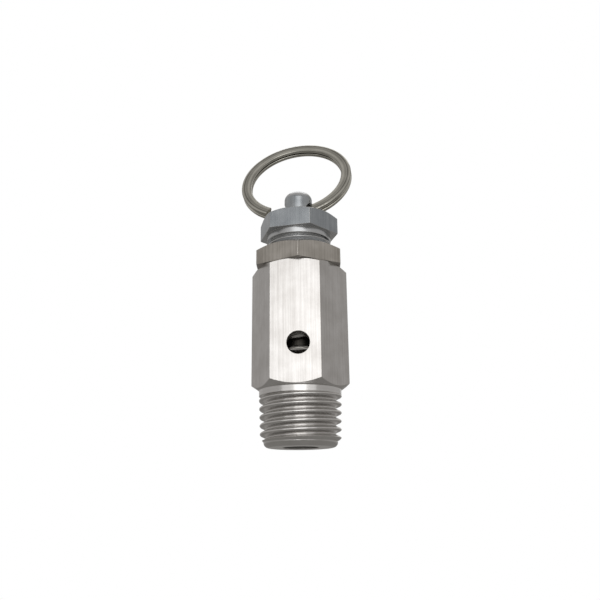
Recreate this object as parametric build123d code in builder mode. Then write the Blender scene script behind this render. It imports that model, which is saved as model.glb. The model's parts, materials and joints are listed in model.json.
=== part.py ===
from build123d import *

import os
from math import atan, ceil, cos, degrees, hypot, radians, sin, sqrt, tan

os.makedirs("parts", exist_ok=True)

# Spring-loaded pressure relief valve, turned from hexagon bar, with an R 1/4 inlet thread and a pull ring.
# Millimetres, degrees. The origin is the centre of the inlet end, and +Z runs up the valve's axis.
# A turn is an angle about +Z, measured from +X.

# ---------------------------------------------------------------- driving dimensions

# body: hexagon bar
body_across_flats = 14.0
body_hex_turn = 54.2
inlet_length = 9.1
hex_length = 20.55
top_chamfer_angle = 30.0
bottom_chamfer_angle = 35.0
neck_height = 0.95
neck_slope = 0.5

# inlet thread: R 1/4, 55 degree form, taper 1 in 16 on the diameter
inlet_pitch = 1.337
inlet_crest_radius = 6.47
inlet_taper = 1 / 32
inlet_depth_share = 0.6403
inlet_crest_at_x = 1.43
inlet_crest_rounding = 0.16
neck_step = 0.23
end_step = 0.52
end_height = 0.85
end_round = 0.8

# flow path
inlet_radius = 2.9
orifice_step = 0.4
orifice_length = 2.0
floor_rise = 1.8
seat_lip_height = 1.0
seat_lip_width = 0.8
seat_lip_land = 0.35
vent_radius = 1.85
vent_rise = 4.74
vent_turn = -92.0

# disc holder and seal
holder_wall = 0.8
holder_lip = 0.25
holder_web = 0.8
pilot_length = 3.2
socket_web = 1.3
seal_step = 0.3
seal_thickness = 1.5
seal_proud = 0.3

# lift stem and its clip
stem_radius = 2.43
stem_end_round = 1.3
stem_above_ring = 3.7
shank_radius = 1.6
shoulder_drop = 3.5
clip_rise = 1.7
clip_wire = 0.6
clip_opening = 40.0

# spring and its seat
spring_wire = 1.1
active_turns = 3
seat_washer_thickness = 0.8
seat_washer_chamfer = 0.12

# adjusting screw: M11 x 1
screw_thread_radius = 5.5
screw_pitch = 1.0
screw_depth_share = 0.6134
screw_crest_below_collar = 0.45
screw_crest_rounding = 0.02
screw_lead = 0.6
screw_engagement = 4.15
screw_travel = 1.5
exposed_thread = 1.6
collar_height = 1.03
collar_step = 0.04
head_height = 3.27
head_across_flats = 12.0
head_turn = 45.8
head_chamfer_rise = 0.52
guide_length = 7.6
relief_step = 0.97
relief_cone = 0.5
guide_mouth_chamfer = 0.2

# lock nut
nut_across_flats = 14.0
nut_thickness = 3.55
nut_turn = 28.7
nut_chamfer_rise = 1.05

# split pull ring: two coils of flat wire
ring_radius = 9.37
wire_width = 1.84
wire_thickness = 0.7
coil_gap = 0.15
wire_corner = 0.3
ring_heading = -12.0
ring_lean = 25.5
ring_roll = -7.2
ring_step_turn = -107.0
ring_step_span = 20.0

# small bevel on sharp hexagon corners
edge_break = 0.08

# clearances
thread_clearance = 0.1
bore_step = 0.55
washer_clearance = 0.35
washer_bore_clearance = 0.25
spring_clearance = 0.4
pilot_clearance = 0.35
holder_clearance = 0.45
seal_clearance = 0.05
stem_clearance = 0.1
shank_clearance = 0.1
shank_end_gap = 0.1
clip_groove_clearance = 0.05
end_turn_gap = 0.02
ring_hole_clearance = 0.05
ring_head_gap = 0.13

# hidden overlaps: a thread's ridge in its core, and a thread's end in the plain part beside it
foot_sink = 0.1
buried = 0.3

# ---------------------------------------------------------------- radii that follow

neck_radius = inlet_crest_radius + neck_step
end_radius = inlet_crest_radius - end_step
orifice_radius = inlet_radius - orifice_step
seat_lip_radius = orifice_radius + seat_lip_width
tapped_radius = screw_thread_radius + thread_clearance
chamber_radius = screw_thread_radius - bore_step
holder_radius = chamber_radius - holder_clearance
seal_radius = holder_radius - holder_wall
seal_face_radius = seal_radius - seal_step
seat_washer_radius = chamber_radius - washer_clearance
spring_mean_radius = chamber_radius - spring_clearance - spring_wire / 2
pilot_radius = spring_mean_radius - spring_wire / 2 - pilot_clearance
guide_radius = stem_radius + stem_clearance
screw_relief_radius = stem_radius + relief_step
collar_radius = screw_thread_radius + collar_step
socket_radius = shank_radius + shank_clearance

# the hole takes both coils, which bow and slope within the stem
coil_pair_thickness = 2 * wire_thickness + coil_gap
ring_stray = stem_radius**2 / (2 * ring_radius) + stem_radius * tan(radians(abs(ring_roll)))
ring_hole_radius = hypot(wire_width / 2 + ring_stray, coil_pair_thickness / 2) + ring_hole_clearance
wire_reach = hypot(wire_width, coil_pair_thickness) / 2 - (sqrt(2) - 1) * wire_corner

# ---------------------------------------------------------------- heights that follow

hex_bottom = inlet_length
neck_bottom = hex_bottom - neck_height
body_top = hex_bottom + hex_length
chamber_floor = hex_bottom + floor_rise
seat_top = chamber_floor + seat_lip_height
orifice_bottom = seat_top - orifice_length
vent_height = chamber_floor + vent_rise
holder_rim = seat_top + seal_proud
seal_top = seat_top + seal_thickness
holder_flange_top = seal_top + holder_web
pilot_top = holder_flange_top + pilot_length
socket_floor = seal_top + socket_web
clip_height = socket_floor + clip_rise
screw_bottom = body_top - screw_engagement
spring_top = screw_bottom - seat_washer_thickness
spring_length = spring_top - holder_flange_top
thread_bore_bottom = screw_bottom - screw_travel - thread_clearance
nut_top = body_top + nut_thickness
collar_bottom = nut_top + exposed_thread
head_bottom = collar_bottom + collar_height
head_top = head_bottom + head_height
screw_relief_top = head_top - guide_length - relief_cone
stem_shoulder = screw_relief_top - shoulder_drop
ring_height = head_top + wire_reach + ring_head_gap
stem_top = ring_height + stem_above_ring

# ---------------------------------------------------------------- shared shapes


def hexagon_bar(across_flats, turn, bottom, top, bottom_chamfer, top_chamfer):
    """Hexagon bar with its corners turned down at each end; a chamfer is (face radius, corner rise)."""
    corner_radius = across_flats / 2 / cos(radians(30))
    with BuildPart() as bar:
        with BuildSketch(Plane.XY.offset(bottom)):
            RegularPolygon(across_flats / 2, 6, major_radius=False, rotation=turn)
        extrude(amount=top - bottom)
        with BuildSketch(Plane.XZ):
            with BuildLine():
                Polyline(
                    (0, bottom),
                    (bottom_chamfer[0], bottom),
                    (corner_radius, bottom + bottom_chamfer[1]),
                    (corner_radius, top - top_chamfer[1]),
                    (top_chamfer[0], top),
                    (0, top),
                    close=True,
                )
            make_face()
        revolve(axis=Axis.Z, mode=Mode.INTERSECT)
    return bar.part


def thread_ridge(pitch, root_radius, depth, foot, crest, land, rounding, start, turns, taper=0.0):
    """Helical ridge of a right-hand thread, to be joined to its core.

    It starts on +X at the start's height, with its foot sunk in the core. The widths of its foot, its
    crest and the land on the crest are shares of the pitch, and the rounding is how far the crest's
    corners are cut back.
    """
    foot_radius = root_radius - foot_sink
    half_foot = foot * pitch / 2
    half_crest = crest * pitch / 2
    half_land = land * pitch / 2
    shoulder = root_radius + depth - rounding
    with BuildPart() as ridge:
        with BuildLine() as path:
            Helix(pitch, pitch * turns, root_radius, (0, 0, start), cone_angle=degrees(atan(taper)))
        with BuildSketch(Plane.XZ):
            with BuildLine():
                Polyline(
                    (foot_radius, start - half_foot),
                    (shoulder, start - half_crest),
                    (root_radius + depth, start - half_land),
                    (root_radius + depth, start + half_land),
                    (shoulder, start + half_crest),
                    (foot_radius, start + half_foot),
                    close=True,
                )
            make_face()
        sweep(path=path.line, is_frenet=True)
    return ridge.part


# ---------------------------------------------------------------- body

body_corner = body_across_flats / 2 / cos(radians(30))
top_face_radius = body_across_flats / 2
top_rise = (body_corner - top_face_radius) * tan(radians(top_chamfer_angle))
bottom_rise = (body_corner - neck_radius) * tan(radians(bottom_chamfer_angle))
hex_bar = hexagon_bar(
    body_across_flats,
    body_hex_turn,
    hex_bottom,
    body_top,
    (neck_radius, bottom_rise),
    (top_face_radius, top_rise),
)

inlet_foot_share = 0.94
inlet_crest_share = 0.38
inlet_land_share = 0.133
inlet_lead = 1.2
inlet_depth = inlet_depth_share * inlet_pitch
inlet_root_radius = inlet_crest_radius - inlet_depth
inlet_start = inlet_crest_at_x - 2 * inlet_pitch
inlet_turns = (neck_bottom + inlet_pitch / 2 - inlet_start) / inlet_pitch
core_bottom = inlet_start - inlet_pitch

with BuildPart() as inlet_thread:
    # tapered core, longer than the spigot at its lower end
    with BuildSketch(Plane.XZ):
        with BuildLine():
            Polyline(
                (0, core_bottom),
                (inlet_root_radius + core_bottom * inlet_taper, core_bottom),
                (inlet_root_radius + hex_bottom * inlet_taper, hex_bottom),
                (0, hex_bottom),
                close=True,
            )
        make_face()
    revolve(axis=Axis.Z)
    add(
        thread_ridge(
            inlet_pitch,
            inlet_root_radius + inlet_start * inlet_taper,
            inlet_depth,
            foot=inlet_foot_share,
            crest=inlet_crest_share,
            land=inlet_land_share,
            rounding=inlet_crest_rounding,
            start=inlet_start,
            turns=inlet_turns,
            taper=inlet_taper,
        )
    )
    # the first thread starts on a short cone, and the last one dies in the neck
    with BuildSketch(Plane.XZ):
        with BuildLine():
            Polyline(
                (0, end_height - buried),
                (end_radius - buried, end_height - buried),
                (end_radius + inlet_lead, end_height + inlet_lead),
                (end_radius + inlet_lead, neck_bottom - buried),
                (neck_radius - foot_sink, neck_bottom),
                (neck_radius - foot_sink, neck_bottom + buried),
                (0, neck_bottom + buried),
                close=True,
            )
        make_face()
    revolve(axis=Axis.Z, mode=Mode.INTERSECT)

with BuildPart() as body:
    add(inlet_thread.part)
    # rounded plain end below the thread
    with BuildSketch(Plane.XZ):
        with BuildLine():
            Polyline((end_radius, end_round), (end_radius, end_height), (0, end_height), (0, 0))
            Line((0, 0), (end_radius - end_round, 0))
            RadiusArc((end_radius - end_round, 0), (end_radius, end_round), -end_round)
        make_face()
    revolve(axis=Axis.Z)
    # plain neck between the thread and the hexagon
    with BuildSketch(Plane.XZ):
        with BuildLine():
            Polyline(
                (0, neck_bottom - neck_slope),
                (inlet_root_radius, neck_bottom - neck_slope),
                (neck_radius, neck_bottom),
                (neck_radius, hex_bottom),
                (0, hex_bottom),
                close=True,
            )
        make_face()
    revolve(axis=Axis.Z)
    add(hex_bar)
    # inlet bore, orifice and seat, chamber and the tapped bore above it
    with BuildSketch(Plane.XZ):
        with BuildLine():
            Polyline(
                (0, 0),
                (inlet_radius, 0),
                (inlet_radius, orifice_bottom - (inlet_radius - orifice_radius)),
                (orifice_radius, orifice_bottom),
                (orifice_radius, seat_top),
                (orifice_radius + seat_lip_land, seat_top),
                (seat_lip_radius, chamber_floor),
                (chamber_radius, chamber_floor),
                (chamber_radius, thread_bore_bottom),
                (tapped_radius, thread_bore_bottom),
                (tapped_radius, body_top),
                (0, body_top),
                close=True,
            )
        make_face()
    revolve(axis=Axis.Z, mode=Mode.SUBTRACT)
    # cross-drilled vents, front and back
    vent_direction = Vector(cos(radians(vent_turn)), sin(radians(vent_turn)), 0)
    vent_plane = Plane(origin=(0, 0, vent_height), z_dir=vent_direction)
    with BuildSketch(vent_plane):
        Circle(vent_radius)
    extrude(amount=body_across_flats, both=True, mode=Mode.SUBTRACT)
body.part.label = "body"

# ---------------------------------------------------------------- seal disc

with BuildPart() as seal_disc:
    with BuildSketch(Plane.XZ):
        with BuildLine():
            Polyline(
                (0, seat_top),
                (seal_face_radius, seat_top),
                (seal_face_radius, holder_rim + holder_lip + seal_clearance),
                (seal_radius, holder_rim + holder_lip + seal_clearance),
                (seal_radius, seal_top),
                (0, seal_top),
                close=True,
            )
        make_face()
    revolve(axis=Axis.Z)
seal_disc.part.label = "seal_disc"

# ---------------------------------------------------------------- disc holder

# the clip's groove is half in the holder and half in the stem
clip_groove_half = clip_wire / 2 + clip_groove_clearance
clip_mean_radius = shank_radius + shank_clearance / 2
groove_outer_radius = clip_mean_radius + clip_groove_half
groove_inner_radius = clip_mean_radius - clip_groove_half

with BuildPart() as disc_holder:
    with BuildSketch(Plane.XZ):
        with BuildLine():
            Polyline(
                (0, seal_top),
                (seal_radius + seal_clearance, seal_top),
                (seal_radius + seal_clearance, holder_rim + holder_lip),
                (seal_face_radius + seal_clearance, holder_rim + holder_lip),
                (seal_face_radius + seal_clearance, holder_rim),
                (holder_radius - holder_lip, holder_rim),
                (holder_radius, holder_rim + holder_lip),
                (holder_radius, holder_flange_top),
                (pilot_radius, holder_flange_top),
                (pilot_radius, pilot_top - holder_lip),
                (pilot_radius - holder_lip, pilot_top),
                (socket_radius, pilot_top),
                (socket_radius, clip_height + clip_groove_half),
                (groove_outer_radius, clip_height + clip_groove_half),
                (groove_outer_radius, clip_height - clip_groove_half),
                (socket_radius, clip_height - clip_groove_half),
                (socket_radius, socket_floor),
                (0, socket_floor),
                close=True,
            )
        make_face()
    revolve(axis=Axis.Z)
disc_holder.part.label = "disc_holder"

# ---------------------------------------------------------------- stem clip: snap ring of round wire

with BuildPart() as stem_clip:
    with BuildSketch(Plane.XZ):
        with Locations((clip_mean_radius, clip_height)):
            Circle(clip_wire / 2)
    revolve(axis=Axis.Z, revolution_arc=360 - clip_opening)
stem_clip.part.label = "stem_clip"

# ---------------------------------------------------------------- lift stem

shank_bottom = socket_floor + shank_end_gap
heading = Vector(cos(radians(ring_heading)), sin(radians(ring_heading)), 0)

with BuildPart() as lift_stem:
    with BuildSketch(Plane.XZ):
        with BuildLine():
            Polyline(
                (0, shank_bottom),
                (shank_radius - holder_lip, shank_bottom),
                (shank_radius, shank_bottom + holder_lip),
                (shank_radius, clip_height - clip_groove_half),
                (groove_inner_radius, clip_height - clip_groove_half),
                (groove_inner_radius, clip_height + clip_groove_half),
                (shank_radius, clip_height + clip_groove_half),
                (shank_radius, stem_shoulder - (stem_radius - shank_radius)),
                (stem_radius, stem_shoulder),
                (stem_radius, stem_top - stem_end_round),
            )
            RadiusArc(
                (stem_radius, stem_top - stem_end_round),
                (stem_radius - stem_end_round, stem_top),
                -stem_end_round,
            )
            Polyline((stem_radius - stem_end_round, stem_top), (0, stem_top), (0, shank_bottom))
        make_face()
    revolve(axis=Axis.Z)
    with BuildSketch(Plane(origin=(0, 0, ring_height), z_dir=heading)):
        Circle(ring_hole_radius)
    extrude(amount=2 * stem_radius, both=True, mode=Mode.SUBTRACT)
lift_stem.part.label = "lift_stem"

# ---------------------------------------------------------------- spring: closed end turns, active turns

end_turn_pitch = spring_wire + end_turn_gap
wire_start = holder_flange_top + spring_wire / 4
active_rise = spring_length - spring_wire / 2 - 2 * end_turn_pitch
spring_turns = [
    (end_turn_pitch, end_turn_pitch),
    (active_rise / active_turns, active_rise),
    (end_turn_pitch, end_turn_pitch),
]

with BuildPart() as spring:
    turn_start = wire_start
    for pitch, rise in spring_turns:
        with BuildLine() as coil:
            Helix(pitch, rise, spring_mean_radius, (0, 0, turn_start))
        with BuildSketch(Plane.XZ):
            with Locations((spring_mean_radius, turn_start)):
                Circle(spring_wire / 2)
        sweep(path=coil.line, is_frenet=True)
        turn_start += rise
    # both ends are ground flat
    with BuildSketch(Plane.XY.offset(holder_flange_top)):
        Circle(spring_mean_radius + spring_wire)
    extrude(amount=spring_length, mode=Mode.INTERSECT)
spring.part.label = "spring"

# ---------------------------------------------------------------- spring seat: thrust washer

with BuildPart() as spring_seat:
    with BuildSketch(Plane.XY.offset(spring_top)):
        Circle(seat_washer_radius)
        Circle(stem_radius + washer_bore_clearance, mode=Mode.SUBTRACT)
    extrude(amount=seat_washer_thickness)
    chamfer(spring_seat.edges().filter_by(GeomType.CIRCLE), seat_washer_chamfer)
spring_seat.part.label = "spring_seat"

# ---------------------------------------------------------------- adjusting screw

screw_foot_share = 0.95
screw_crest_share = 0.18
screw_land_share = 0.072
screw_depth = screw_depth_share * screw_pitch
screw_root_radius = screw_thread_radius - screw_depth
last_crest = collar_bottom - screw_crest_below_collar
whole_turns = ceil((last_crest - screw_bottom) / screw_pitch)
head_corner = head_across_flats / 2 / cos(radians(30))
head_face_radius = head_corner - head_chamfer_rise / tan(radians(top_chamfer_angle))

with BuildPart() as screw_thread:
    with BuildSketch(Plane.XY.offset(screw_bottom - screw_pitch)):
        Circle(screw_root_radius)
    extrude(amount=head_bottom - screw_bottom + screw_pitch)
    add(
        thread_ridge(
            screw_pitch,
            screw_root_radius,
            screw_depth,
            foot=screw_foot_share,
            crest=screw_crest_share,
            land=screw_land_share,
            rounding=screw_crest_rounding,
            start=last_crest - whole_turns * screw_pitch,
            turns=whole_turns + 0.5,
        )
    )
    with BuildSketch(Plane.XZ):
        with BuildLine():
            Polyline(
                (0, screw_bottom),
                (screw_thread_radius - screw_lead, screw_bottom),
                (screw_thread_radius + foot_sink, screw_bottom + screw_lead + foot_sink),
                (screw_thread_radius + foot_sink, collar_bottom),
                (screw_thread_radius - foot_sink, collar_bottom + foot_sink),
                (screw_thread_radius - foot_sink, collar_bottom + buried),
                (0, collar_bottom + buried),
                close=True,
            )
        make_face()
    revolve(axis=Axis.Z, mode=Mode.INTERSECT)

with BuildPart() as adjusting_screw:
    add(screw_thread.part)
    with BuildSketch(Plane.XY.offset(collar_bottom)):
        Circle(collar_radius)
    extrude(amount=head_bottom - collar_bottom)
    add(
        hexagon_bar(
            head_across_flats,
            head_turn,
            head_bottom,
            head_top,
            (head_corner - edge_break, edge_break),
            (head_face_radius, head_chamfer_rise),
        )
    )
    with BuildSketch(Plane.XZ):
        with BuildLine():
            Polyline(
                (0, screw_bottom),
                (screw_relief_radius, screw_bottom),
                (screw_relief_radius, screw_relief_top),
                (guide_radius, screw_relief_top + relief_cone),
                (guide_radius, head_top - guide_mouth_chamfer),
                (guide_radius + guide_mouth_chamfer, head_top),
                (0, head_top),
                close=True,
            )
        make_face()
    revolve(axis=Axis.Z, mode=Mode.SUBTRACT)
adjusting_screw.part.label = "adjusting_screw"

# ---------------------------------------------------------------- lock nut

nut_corner = nut_across_flats / 2 / cos(radians(30))
nut_face_radius = nut_corner - nut_chamfer_rise / tan(radians(top_chamfer_angle))

with BuildPart() as lock_nut:
    add(
        hexagon_bar(
            nut_across_flats,
            nut_turn,
            body_top,
            nut_top,
            (nut_corner - edge_break, edge_break),
            (nut_face_radius, nut_chamfer_rise),
        )
    )
    with BuildSketch(Plane.XY.offset(body_top)):
        Circle(tapped_radius)
    extrude(amount=nut_thickness, mode=Mode.SUBTRACT)
lock_nut.part.label = "lock_nut"

# ---------------------------------------------------------------- pull ring

# The ring's own plane leans back from the vertical and holds the cross hole's axis.
ring_normal = Vector(
    sin(radians(ring_heading)) * cos(radians(ring_lean)),
    -cos(radians(ring_heading)) * cos(radians(ring_lean)),
    sin(radians(ring_lean)),
)
hole_plane = Plane(origin=(0, 0, ring_height), x_dir=heading, z_dir=ring_normal)
ring_centre = hole_plane.from_local_coords(
    (ring_radius * sin(radians(ring_roll)), ring_radius * cos(radians(ring_roll)), 0)
)
ring_plane = Plane(origin=ring_centre, x_dir=heading, z_dir=ring_normal)
ring_axis = Axis(ring_plane.origin, ring_plane.z_dir)
coil_offset = (wire_thickness + coil_gap) / 2
step_start = ring_step_turn - ring_step_span / 2
step_end = ring_step_turn + ring_step_span / 2


def ring_point(turn, lift):
    """Point of the wire's centre line in the ring's plane, lifted along the ring's axis."""
    return (ring_radius * cos(radians(turn)), ring_radius * sin(radians(turn)), lift)


def section_plane(turn):
    """Plane across the wire: its X points outwards, its Y along the ring's axis."""
    outward = ring_plane.x_dir * cos(radians(turn)) + ring_plane.y_dir * sin(radians(turn))
    along = ring_plane.y_dir * cos(radians(turn)) - ring_plane.x_dir * sin(radians(turn))
    return Plane(origin=ring_plane.origin, x_dir=outward, z_dir=-along)


with BuildPart() as pull_ring:
    # one coil starts where the step ends, below; the other starts there too, above
    for lift in (-coil_offset, coil_offset):
        with BuildSketch(section_plane(step_end)):
            with Locations((ring_radius, lift)):
                RectangleRounded(wire_width, wire_thickness, wire_corner)
        revolve(axis=ring_axis, revolution_arc=360 - ring_step_span)
    # the step that takes the wire from the lower coil to the upper one
    tangent_start = Vector(-sin(radians(step_start)), cos(radians(step_start)), 0)
    tangent_end = Vector(-sin(radians(step_end)), cos(radians(step_end)), 0)
    with BuildLine(ring_plane) as step_path:
        Spline(
            ring_point(step_start, -coil_offset),
            ring_point(ring_step_turn, 0),
            ring_point(step_end, coil_offset),
            tangents=[tangent_start, tangent_end],
        )
    with BuildSketch(section_plane(step_start)):
        with Locations((ring_radius, -coil_offset)):
            RectangleRounded(wire_width, wire_thickness, wire_corner)
    with BuildLine(ring_plane, mode=Mode.PRIVATE) as guide:
        Line((0, 0, -coil_offset), (0, 0, coil_offset))
    sweep(path=step_path.line, binormal=guide.line.edge())
pull_ring.part.label = "pull_ring"

# ---------------------------------------------------------------- files

export_step(body.part, "parts/body.step")
export_step(seal_disc.part, "parts/seal_disc.step")
export_step(disc_holder.part, "parts/disc_holder.step")
export_step(stem_clip.part, "parts/stem_clip.step")
export_step(lift_stem.part, "parts/lift_stem.step")
export_step(spring.part, "parts/spring.step")
export_step(spring_seat.part, "parts/spring_seat.step")
export_step(adjusting_screw.part, "parts/adjusting_screw.step")
export_step(lock_nut.part, "parts/lock_nut.step")
export_step(pull_ring.part, "parts/pull_ring.step")
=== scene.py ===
# %% [markdown]
# Pressure relief valve: the looks.
# The shapes come from the CAD model, which is loaded as a fixed frame. This lesson gives each
# piece its finish, winds one new spring, and sets up a small product studio round the valve.
# Lengths are in metres, and mm() makes metres of a size in millimetres. Where a length stays in
# millimetres, its name or a docstring says so.

import json
from math import cos, pi, radians, sin

import bmesh
import bpy
from mathutils import Matrix, Vector


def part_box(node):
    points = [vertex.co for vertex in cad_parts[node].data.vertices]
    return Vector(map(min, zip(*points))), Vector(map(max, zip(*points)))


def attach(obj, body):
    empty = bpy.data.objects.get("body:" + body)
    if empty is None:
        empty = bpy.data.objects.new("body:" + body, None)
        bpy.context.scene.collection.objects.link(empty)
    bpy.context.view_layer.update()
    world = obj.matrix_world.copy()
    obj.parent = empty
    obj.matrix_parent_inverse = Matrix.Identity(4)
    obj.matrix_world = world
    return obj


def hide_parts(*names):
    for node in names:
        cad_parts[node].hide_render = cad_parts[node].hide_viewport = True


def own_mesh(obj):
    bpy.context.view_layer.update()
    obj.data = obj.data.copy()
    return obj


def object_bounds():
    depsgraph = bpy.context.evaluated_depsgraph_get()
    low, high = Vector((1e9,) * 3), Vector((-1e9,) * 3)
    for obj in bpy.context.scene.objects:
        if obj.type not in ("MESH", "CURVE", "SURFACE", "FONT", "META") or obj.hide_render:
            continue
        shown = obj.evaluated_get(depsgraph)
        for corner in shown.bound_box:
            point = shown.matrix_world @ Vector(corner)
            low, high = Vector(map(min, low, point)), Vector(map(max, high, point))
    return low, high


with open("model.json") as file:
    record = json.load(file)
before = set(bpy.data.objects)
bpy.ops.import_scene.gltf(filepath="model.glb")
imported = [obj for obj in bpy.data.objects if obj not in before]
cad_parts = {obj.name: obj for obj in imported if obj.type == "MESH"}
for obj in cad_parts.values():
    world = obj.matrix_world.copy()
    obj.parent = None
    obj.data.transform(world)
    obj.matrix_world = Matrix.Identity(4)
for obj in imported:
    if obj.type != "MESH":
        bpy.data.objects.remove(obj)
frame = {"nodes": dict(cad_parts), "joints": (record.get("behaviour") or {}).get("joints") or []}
cad_low, cad_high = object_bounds()
print("nodes:", ", ".join(sorted(frame["nodes"])))
print("CAD box in mm:", [round(1000 * side, 2) for side in cad_high - cad_low])


# %% [markdown]
# A length in millimetres is turned to metres in one place, and so is a screen colour. A hex value
# is what a colour picker gives, in sRGB, while shaders add light, so they need the linear value.

# %% Units and colours
def mm(length):
    """Metres from millimetres."""
    return length / 1000


def colour(hex_code):
    """Linear RGBA from an sRGB hex value."""
    channels = [int(hex_code[i : i + 2], 16) / 255 for i in (0, 2, 4)]
    linear = [c / 12.92 if c <= 0.04045 else ((c + 0.055) / 1.055) ** 2.4 for c in channels]
    return (*linear, 1.0)


print("white is", colour("ffffff"))


# %% [markdown]
# The camera. The valve is looked at from a little below its inlet end, as when it is held up to
# the eye: the camera is close, tilted up, and rolled by a fraction of a degree. The matrix is built
# from three directions, because a tilt and a roll are easier to read than Euler angles.

# %% Camera
camera_place = Vector((mm(0.12), mm(-109.49), mm(-7.91)))
tilt_up = radians(16.511)
roll = radians(-0.632)
lens_mm = 40.41
sensor_mm = 36.0

forward = Vector((0, cos(tilt_up), sin(tilt_up)))
level_up = Vector((0, -sin(tilt_up), cos(tilt_up)))
level_right = Vector((1, 0, 0))
camera_right = level_right * cos(roll) + level_up * sin(roll)
camera_up = level_up * cos(roll) - level_right * sin(roll)

camera_data = bpy.data.cameras.new("camera")
camera_data.lens = lens_mm
camera_data.sensor_width = sensor_mm
camera_data.clip_start = mm(5)
camera_data.clip_end = 20
camera = bpy.data.objects.new("camera", camera_data)
camera.matrix_world = Matrix.Translation(camera_place) @ Matrix(
    (camera_right, camera_up, -forward)
).transposed().to_4x4()
bpy.context.scene.collection.objects.link(camera)
bpy.context.scene.camera = camera
print("camera is", round(1000 * camera_place.length), "mm from the inlet end")


# %% [markdown]
# Every material is a small tree of nodes. One function adds a node, sets its properties, and fills
# its inputs: an input is given a plain value, or another node's output to link. Three settings that
# many nodes share are named beside it.

# %% One function that adds a node
def add(tree, kind, out=0, props=None, **inputs):
    """Adds a node and returns its output; an input's key is its name with _ for a space, or i0, i1."""
    node = tree.nodes.new(kind)
    for key, value in (props or {}).items():
        setattr(node, key, value)
    for key, value in inputs.items():
        name = int(key[1:]) if key[0] == "i" and key[1:].isdigit() else key.replace("_", " ")
        socket = node.inputs[name]
        if isinstance(value, bpy.types.NodeSocket):
            tree.links.new(value, socket)
        else:
            socket.default_value = value
    return node.outputs[out] if len(node.outputs) else node


MULTIPLY = {"operation": "MULTIPLY"}
COLOURS = {"data_type": "RGBA"}
NUMBERS = {"data_type": "FLOAT"}
print("the node helper is ready")


# %% [markdown]
# The studio room. Polished and turned metal shows little colour of its own: what is seen on it is
# the room. A mid-grey room, a little darker below, gives the side flats their calm grey. The world
# is white only where the camera looks straight at it, so the backdrop is a clean white sweep.

# %% World
room_grey = "b3b1af"
ground_grey = "858380"
world = bpy.data.worlds.new("studio")
bpy.context.scene.world = world
world.use_nodes = True
sky = world.node_tree
sky.nodes.clear()
way = add(sky, "ShaderNodeTexCoord", out="Generated")
rise = add(sky, "ShaderNodeSeparateXYZ", out="Z", Vector=way)
above = add(sky, "ShaderNodeMapRange", Value=rise, From_Min=-0.15, From_Max=0.1)
tint = add(
    sky,
    "ShaderNodeMix",
    out=2,
    props=COLOURS,
    Factor=above,
    i6=colour(ground_grey),
    i7=colour(room_grey),
)
seen = add(sky, "ShaderNodeLightPath", out="Is Camera Ray")
backdrop = add(sky, "ShaderNodeBackground", Color=colour("ffffff"), Strength=1.0)
room = add(sky, "ShaderNodeBackground", Color=tint, Strength=1.0)
both = add(sky, "ShaderNodeMixShader", Fac=seen, i1=room, i2=backdrop)
add(sky, "ShaderNodeOutputWorld", Surface=both)
bpy.context.scene.view_settings.view_transform = "Standard"
print("room grey is", [round(c, 2) for c in colour(room_grey)[:3]])

# %% [markdown]
# The softboxes. A flat face mirrors one small part of the room, so each box is placed for the faces
# that mirror it. The wide box in front fills the nut, the head and the thread's crests. The smaller
# key box on top of it makes the front flat almost white, and the thin high box puts a line of light
# on the stem and the collar. The boxes behind and above are soft, for the far side and the floor.
# A lamp's power is worked out from its radiance, because that is what a face in front of it shows.

# %% Softboxes
valve_middle = (cad_low + cad_high) / 2


def softbox(name, azimuth, elevation, distance, width, height, radiance):
    """Area light that faces the valve; azimuth is measured from +X, and radiance is what a mirror shows."""
    lamp = bpy.data.lights.new(name, "AREA")
    lamp.shape = "RECTANGLE"
    lamp.size = width
    lamp.size_y = height
    lamp.energy = radiance * pi * width * height
    box = bpy.data.objects.new(name, lamp)
    a, e = radians(azimuth), radians(elevation)
    outward = Vector((cos(a) * cos(e), sin(a) * cos(e), sin(e)))
    facing = outward.to_track_quat("Z", "Y").to_matrix().to_4x4()
    box.matrix_world = Matrix.Translation(valve_middle + outward * distance) @ facing
    box.visible_camera = False
    bpy.context.scene.collection.objects.link(box)
    print(name, "gives", round(lamp.energy, 2), "W")


softbox("wide_box", azimuth=-94, elevation=9, distance=0.4, width=0.86, height=0.22, radiance=0.48)
softbox("key_box", azimuth=-90, elevation=7, distance=0.3, width=0.18, height=0.14, radiance=0.95)
softbox("high_box", azimuth=-88, elevation=25, distance=0.3, width=0.26, height=0.05, radiance=0.6)
softbox("back_box", azimuth=80, elevation=20, distance=0.5, width=0.3, height=0.3, radiance=0.3)
softbox("top_box", azimuth=80, elevation=65, distance=0.5, width=0.4, height=0.3, radiance=1.0)

# %% [markdown]
# The floor. The valve stands on its inlet end on a pale sweep. The camera looks up from below that
# level, so the floor is made one-sided: it is seen from above, and is clear from underneath, as if
# the valve stood on a sheet of glass. It takes the valve's shadow, but it shades nothing itself, so
# the inlet end keeps its light. Far from the valve it fades into the white of the backdrop.

# %% Floor
floor_half = 1.5
floor_gap = mm(0.05)
floor_height = cad_low.z - floor_gap
floor_mesh = bpy.data.meshes.new("floor")
grid = bmesh.new()
bmesh.ops.create_grid(grid, x_segments=1, y_segments=1, size=floor_half)
bmesh.ops.translate(grid, verts=grid.verts, vec=(0, 0, floor_height))
grid.to_mesh(floor_mesh)
grid.free()
floor = bpy.data.objects.new("floor", floor_mesh)
bpy.context.scene.collection.objects.link(floor)
floor.visible_glossy = False
floor.visible_diffuse = False
floor.visible_shadow = False
print("floor is at", round(1000 * floor_height, 2), "mm")

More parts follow.
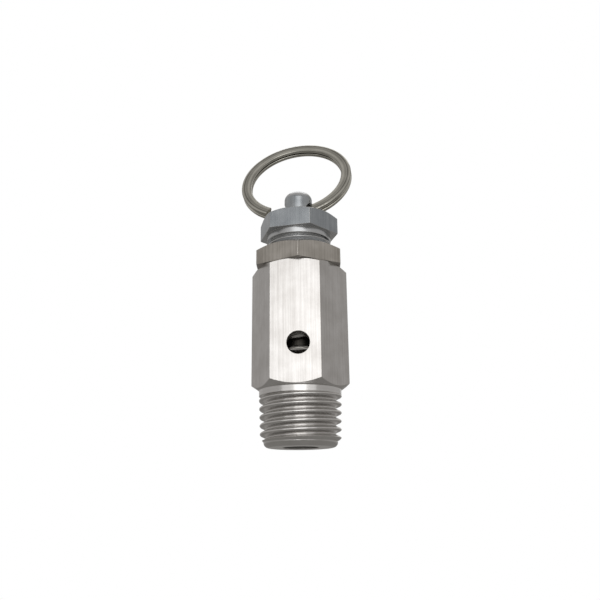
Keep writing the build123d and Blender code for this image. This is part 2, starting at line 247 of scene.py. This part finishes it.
# %% Paper of the floor
full_paper = 0.08
no_paper = 0.45
floor_paint = bpy.data.materials.new("pale_sweep")
floor_paint.use_nodes = True
sweep = floor_paint.node_tree
sweep.nodes.clear()
behind = add(sweep, "ShaderNodeNewGeometry", out="Backfacing")
place = add(sweep, "ShaderNodeTexCoord", out="Object")
away = add(sweep, "ShaderNodeVectorMath", out="Value", props={"operation": "LENGTH"}, i0=place)
fade = add(
    sweep,
    "ShaderNodeMapRange",
    props={"interpolation_type": "SMOOTHSTEP"},
    Value=away,
    From_Min=full_paper,
    From_Max=no_paper,
)
unseen = add(sweep, "ShaderNodeMath", props={"operation": "MAXIMUM"}, i0=behind, i1=fade)
mottle = add(sweep, "ShaderNodeTexNoise", out="Fac", Vector=place, Scale=14.0, Detail=3.0)
tone = add(
    sweep,
    "ShaderNodeMix",
    out=2,
    props=COLOURS,
    Factor=mottle,
    i6=colour("f4f3f0"),
    i7=colour("fbfaf8"),
)
paper = add(sweep, "ShaderNodeBsdfPrincipled", Base_Color=tone, Roughness=0.8)
clear = add(sweep, "ShaderNodeBsdfTransparent")
seen_side = add(sweep, "ShaderNodeMixShader", Fac=unseen, i1=paper, i2=clear)
add(sweep, "ShaderNodeOutputMaterial", Surface=seen_side)
floor_mesh.materials.append(floor_paint)
print("the floor is full within", full_paper, "m and gone beyond", no_paper, "m")


# %% [markdown]
# Metal finishes. All the metal pieces are cut or drawn, and a cut leaves fine lines that run the
# way the tool went: along the bar on drawn flats, round the axis on turned faces. A helper puts the
# object coordinates in millimetres, because the spacing of such lines is a size in millimetres.

# %% Coordinates in millimetres
def millimetre_coords(tree, ring_frame=False):
    """Coordinates in mm, the distance from the axis and the height along it, on the valve or its ring."""
    place = add(tree, "ShaderNodeTexCoord", out="Object")
    if ring_frame:
        place = add(
            tree,
            "ShaderNodeMapping",
            props={"vector_type": "TEXTURE"},
            Vector=place,
            Location=ring_centre,
            Rotation=ring_turn,
        )
    in_mm = add(tree, "ShaderNodeVectorMath", props={"operation": "SCALE"}, i0=place, Scale=1000.0)
    flat = add(tree, "ShaderNodeVectorMath", props=MULTIPLY, i0=in_mm, i1=(1, 1, 0))
    radius = add(tree, "ShaderNodeVectorMath", out="Value", props={"operation": "LENGTH"}, i0=flat)
    height = add(tree, "ShaderNodeSeparateXYZ", out="Z", Vector=in_mm)
    return in_mm, radius, height


print("patterns are laid out in millimetres")


# %% Lines of a cutting tool
def drawn_lines(tree, in_mm, spacing):
    """Noise drawn out along the axis: the fine straight lines of drawn bar. Spacing is in mm."""
    stretch = 60
    squeezed = add(tree, "ShaderNodeVectorMath", props=MULTIPLY, i0=in_mm, i1=(1, 1, 1 / stretch))
    return add(
        tree,
        "ShaderNodeTexNoise",
        out="Fac",
        Vector=squeezed,
        Scale=1 / spacing,
        Detail=4.0,
        Roughness=0.7,
    )


def turned_lines(tree, radius, height, spacing):
    """Noise that is the same all round the axis: the rings that a lathe tool leaves. Spacing is in mm."""
    section = add(tree, "ShaderNodeCombineXYZ", X=radius, Y=height)
    return add(
        tree,
        "ShaderNodeTexNoise",
        out="Fac",
        Vector=section,
        Scale=1 / spacing,
        Detail=4.0,
        Roughness=0.75,
    )


print("drawn and turned lines are ready")


# %% [markdown]
# The ring stands askew, so the lines along its wire are laid out in the ring's own frame: its plane
# leans back from the vertical and holds the hinge's axis, which the record gives. A Mapping node of
# the texture kind takes the object coordinates into that frame.

# %% Frame of the pull ring
ring_radius = mm(9.37)
ring_lean = radians(25.5)
ring_roll = radians(-7.2)
swing = next(joint for joint in frame["joints"] if joint["name"] == "ring_swing")
hinge_point = Vector(swing["pos_m"])
along_hinge = Vector(swing["axis"]).normalized()
level_normal = along_hinge.cross(Vector((0, 0, 1)))
ring_normal = level_normal * cos(ring_lean) + Vector((0, 0, 1)) * sin(ring_lean)
ring_up = ring_normal.cross(along_hinge)
ring_centre = hinge_point + ring_radius * (along_hinge * sin(ring_roll) + ring_up * cos(ring_roll))
ring_turn = Matrix((along_hinge, ring_up, ring_normal)).transposed().to_euler()
print("ring centre in mm:", [round(1000 * c, 2) for c in ring_centre])

# %% [markdown]
# Where a piece was turned. A cut across the bar, such as a chamfer or an end face, slopes, while the
# drawn flats stand upright, so the slope of the face tells one from the other. A turned neck or a
# thread stands upright too, so it is picked out by its height. The wire of the ring was only drawn,
# and its lines run round the ring.

# %% Pattern of the cut
least_slope = 0.2
nowhere = -1.0


def cut_pattern(tree, in_mm, radius, height, spacing, turned_below):
    """Lines on drawn faces and rings on turned ones, and a mask that is 1 where the piece was turned."""
    lines = drawn_lines(tree, in_mm, spacing)
    rings = turned_lines(tree, radius, height, spacing)
    normal = add(tree, "ShaderNodeTexCoord", out="Normal")
    tilt = add(tree, "ShaderNodeSeparateXYZ", out="Z", Vector=normal)
    slope = add(tree, "ShaderNodeMath", props={"operation": "ABSOLUTE"}, i0=tilt)
    sloping = add(tree, "ShaderNodeMath", props={"operation": "GREATER_THAN"}, i0=slope, i1=least_slope)
    low = add(tree, "ShaderNodeMath", props={"operation": "LESS_THAN"}, i0=height, i1=turned_below)
    turned = add(tree, "ShaderNodeMath", props={"operation": "MAXIMUM"}, i0=sloping, i1=low)
    pattern = add(tree, "ShaderNodeMix", props=NUMBERS, Factor=turned, i2=lines, i3=rings)
    return pattern, turned


print("faces that slope by more than", least_slope, "count as turned")

# %% [markdown]
# The colour of bare metal is never quite even. A thin dull film lies in the lines and in broad
# clouds, and the metal between them is clean.

# %% Film on the metal
clouds_per_mm = 0.35


def film_colour(tree, in_mm, pattern, clean, dull, cloud_share):
    """Colour between dull and clean, led by the lines and, by the given share, by broad clouds."""
    cloud = add(
        tree, "ShaderNodeTexNoise", out="Fac", Vector=in_mm, Scale=clouds_per_mm, Detail=4.0
    )
    mix = add(tree, "ShaderNodeMix", props=NUMBERS, Factor=cloud_share, i2=pattern, i3=cloud)
    film = add(tree, "ShaderNodeMapRange", Value=mix, From_Min=0.375, From_Max=0.625)
    return add(
        tree,
        "ShaderNodeMix",
        out=2,
        props=COLOURS,
        Factor=film,
        i6=colour(dull),
        i7=colour(clean),
    )


print("a cloud of film is about", round(1 / clouds_per_mm, 1), "mm across")

# %% [markdown]
# Handling rubs the edges bright, and a painted highlight is laid along them too: every edge is mixed
# towards a lighter metal. A Bevel node gives the normal of a slightly rounded edge, and where that
# differs from the true normal, there is an edge.

# %% Rubbed edges and painted edge highlights
def edge_wear_and_highlight(tree, edge):
    """Normal of an edge rounded to the given size in mm, and a mask that is 1 on the edge itself."""
    rounded = add(tree, "ShaderNodeBevel", props={"samples": 6}, Radius=mm(edge))
    true_normal = add(tree, "ShaderNodeNewGeometry", out="Normal")
    agree = add(
        tree,
        "ShaderNodeVectorMath",
        out="Value",
        props={"operation": "DOT_PRODUCT"},
        i0=rounded,
        i1=true_normal,
    )
    wear_and_highlight_mask = add(tree, "ShaderNodeMapRange", Value=agree, From_Min=0.995, From_Max=0.9)
    return rounded, wear_and_highlight_mask


print("rubbed edges are ready")

# %% [markdown]
# One recipe makes each bare metal from its own numbers: the colour of the clean metal and of the
# film on it, how rough it is, how far apart and how deep its lines are, and where it is turned.
# Metal keeps its default IOR, and what it reflects takes the base colour. Where the tool has cut
# through the skin of the bar, the fresh metal is brighter.

# %% Recipe for bare metal
fresh_metal = "e6e5e4"
fresh_share = 0.45
# Colour of the edges: partly rubbed wear, partly a painted highlight.
edge_wear_and_highlight_metal = "dedad4"


def bare_metal(name, clean, dull, roughness, spacing, depth, turned_below=nowhere, edge=0.1, wire=False):
    """Metal with drawn lines, and turned rings on slopes and below a height; all lengths are in mm."""
    material = bpy.data.materials.new(name)
    material.use_nodes = True
    tree = material.node_tree
    tree.nodes.clear()
    in_mm, radius, height = millimetre_coords(tree, wire)
    if wire:
        pattern = turned_lines(tree, radius, height, spacing)
        tone = film_colour(tree, in_mm, pattern, clean, dull, cloud_share=0.15)
    else:
        pattern, turned = cut_pattern(tree, in_mm, radius, height, spacing, turned_below)
        film = film_colour(tree, in_mm, pattern, clean, dull, cloud_share=0.5)
        fresh = add(tree, "ShaderNodeMath", props=MULTIPLY, i0=turned, i1=fresh_share)
        tone = add(
            tree,
            "ShaderNodeMix",
            out=2,
            props=COLOURS,
            Factor=fresh,
            i6=film,
            i7=colour(fresh_metal),
        )
    rounded, wear_and_highlight_mask = edge_wear_and_highlight(tree, edge)
    # Edges are mixed towards the lighter edge metal: rubbed wear and a painted highlight.
    tone = add(
        tree, "ShaderNodeMix", out=2, props=COLOURS, Factor=wear_and_highlight_mask, i6=tone, i7=colour(edge_wear_and_highlight_metal)
    )
    gloss = add(
        tree,
        "ShaderNodeMapRange",
        Value=pattern,
        From_Min=0.25,
        From_Max=0.75,
        To_Min=roughness * 1.12,
        To_Max=roughness * 0.9,
    )
    relief = add(
        tree, "ShaderNodeBump", Strength=1.0, Distance=mm(depth), Height=pattern, Normal=rounded
    )
    skin = add(
        tree,
        "ShaderNodeBsdfPrincipled",
        Base_Color=tone,
        Metallic=1.0,
        Roughness=gloss,
        Normal=relief,
    )
    add(tree, "ShaderNodeOutputMaterial", Surface=skin)
    return material


print("the recipe for bare metal is ready")

# %% [markdown]
# The body is bright drawn stainless hexagon bar: the flats keep the lines of the drawing die, and
# the chamfers, neck and thread are turned. The screw and stem are a cooler, satin steel. The pieces
# inside never see a polishing wheel, so they are duller. The disc holder is painted far darker than
# its steel: that dark is painted shade, for the shade inside the vent where the holder shows through.

# %% Materials of the metal pieces
hex_bottom_mm = 9.1
head_bottom_mm = 35.8
finishes = {
    "body": bare_metal(
        "drawn_stainless_bar", "cfcdcb", "bbb8b5", 0.22, 0.25, 0.002, turned_below=hex_bottom_mm
    ),
    "lock_nut": bare_metal("machined_stainless_nut", "cfcac3", "a8a39b", 0.3, 0.2, 0.004),
    "adjusting_screw": bare_metal(
        "satin_steel_screw", "b4b9bd", "989da2", 0.26, 0.25, 0.002, turned_below=head_bottom_mm
    ),
    "lift_stem": bare_metal("turned_steel_stem", "c2c6c9", "9da2a6", 0.26, 0.25, 0.003),
    "pull_ring": bare_metal("drawn_ring_wire", "e6e4da", "7c7a73", 0.14, 0.45, 0.005, edge=0.03, wire=True),
    # The holder's dark colour is painted shade for the inside of the vent, not the tone of its metal.
    "disc_holder": bare_metal("holder_painted_vent_shade", "65625d", "4a4743", 0.45, 0.2, 0.002),
    "spring_seat": bare_metal("turned_washer", "9c9a96", "7c7a76", 0.35, 0.2, 0.002),
    "stem_clip": bare_metal("spring_wire_clip", "8a8884", "6a6864", 0.35, 0.2, 0.002),
}
for node, material in finishes.items():
    mesh = frame["nodes"][node].data
    mesh.materials.clear()
    mesh.materials.append(material)
    print(node, "is", material.name)


# %% [markdown]
# The spring is wound anew in place of the CAD spring, which is one rigid coil; the real spring
# shortens when the valve lifts. A maker would sweep a circle along a helix; here the round section
# is spun about the axis with a small rise at every step, first through a closed end turn, then the
# open turns, then the other closed turn. A spin carries the section round without twisting it.

# %% Sizes of the spring
pilot_length = mm(3.2)
spring_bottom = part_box("disc_holder")[1].z - pilot_length
spring_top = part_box("spring_seat")[0].z
spring_length = spring_top - spring_bottom
wire = mm(1.1)
coil_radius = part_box("spring")[1].x - wire / 2
end_rise = mm(1.12)
open_turns = 3
open_rise = spring_length - wire / 2 - 2 * end_rise
print("the spring is", round(1000 * spring_length, 2), "mm long")

# %% Wind the spring
steps_per_turn = 64
coil = bmesh.new()
section_place = Matrix.Translation((coil_radius, 0, spring_bottom + wire / 4))
bmesh.ops.create_circle(
    coil, segments=20, radius=wire / 2, matrix=section_place @ Matrix.Rotation(pi / 2, 4, "X")
)
moving = coil.edges[:]
for turns, climb in ((1, end_rise), (open_turns, open_rise), (1, end_rise)):
    steps = steps_per_turn * turns
    wound = bmesh.ops.spin(
        coil,
        geom=moving,
        axis=(0, 0, 1),
        dvec=(0, 0, climb / steps),
        angle=2 * pi * turns,
        steps=steps,
    )
    moving = [part for part in wound["geom_last"] if isinstance(part, bmesh.types.BMEdge)]
bmesh.ops.remove_doubles(coil, verts=coil.verts, dist=mm(0.001))
print("the wound wire has", len(coil.faces), "faces")

# %% [markdown]
# Both ends are then ground flat, so that the spring stands square on the holder and the washer: a
# plane cuts the wire, and the cut is closed with a face.

# %% Grind the ends of the spring
for level, side in ((spring_bottom, -1), (spring_top, 1)):
    bmesh.ops.bisect_plane(
        coil,
        geom=coil.verts[:] + coil.edges[:] + coil.faces[:],
        plane_co=(0, 0, level),
        plane_no=(0, 0, side),
        clear_outer=True,
    )
    rim = [edge for edge in coil.edges if edge.is_boundary]
    bmesh.ops.holes_fill(coil, edges=rim)
bmesh.ops.recalc_face_normals(coil, faces=coil.faces)
for face in coil.faces:
    face.smooth = len(face.verts) == 4
spring_mesh = bpy.data.meshes.new("spring_coil")
coil.to_mesh(spring_mesh)
coil.free()
spring = bpy.data.objects.new("spring_coil", spring_mesh)
bpy.context.scene.collection.objects.link(spring)
print("spring_coil has", len(spring_mesh.polygons), "faces")

# %% [markdown]
# The spring stands on the holder and rides with it.

# %% Fit the spring
spring_steel = bare_metal("drawn_spring_wire", "8f8d88", "6c6a66", 0.22, 0.3, 0.001, edge=0.02)
spring_mesh.materials.append(spring_steel)
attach(spring, "poppet")
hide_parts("spring")
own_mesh(spring)


# %% [markdown]
# The seal is a moulded nitrile disc: black, matt, with the faint grain of its mould.

# %% Rubber of the seal
rubber = bpy.data.materials.new("moulded_nitrile_rubber")
rubber.use_nodes = True
seal_tree = rubber.node_tree
seal_tree.nodes.clear()
seal_mm, _, _ = millimetre_coords(seal_tree)
grain = add(seal_tree, "ShaderNodeTexNoise", out="Fac", Vector=seal_mm, Scale=6.0, Detail=5.0)
seal_tone = add(
    seal_tree,
    "ShaderNodeMix",
    out=2,
    props=COLOURS,
    Factor=grain,
    i6=colour("161616"),
    i7=colour("2a2a29"),
)
seal_relief = add(seal_tree, "ShaderNodeBump", Strength=1.0, Distance=mm(0.01), Height=grain)
seal_skin = add(
    seal_tree,
    "ShaderNodeBsdfPrincipled",
    Base_Color=seal_tone,
    Roughness=0.7,
    IOR=1.52,
    Normal=seal_relief,
)
add(seal_tree, "ShaderNodeOutputMaterial", Surface=seal_skin)
seal_mesh = frame["nodes"]["seal_disc"].data
seal_mesh.materials.clear()
seal_mesh.materials.append(rubber)
print("seal_disc is", rubber.name)
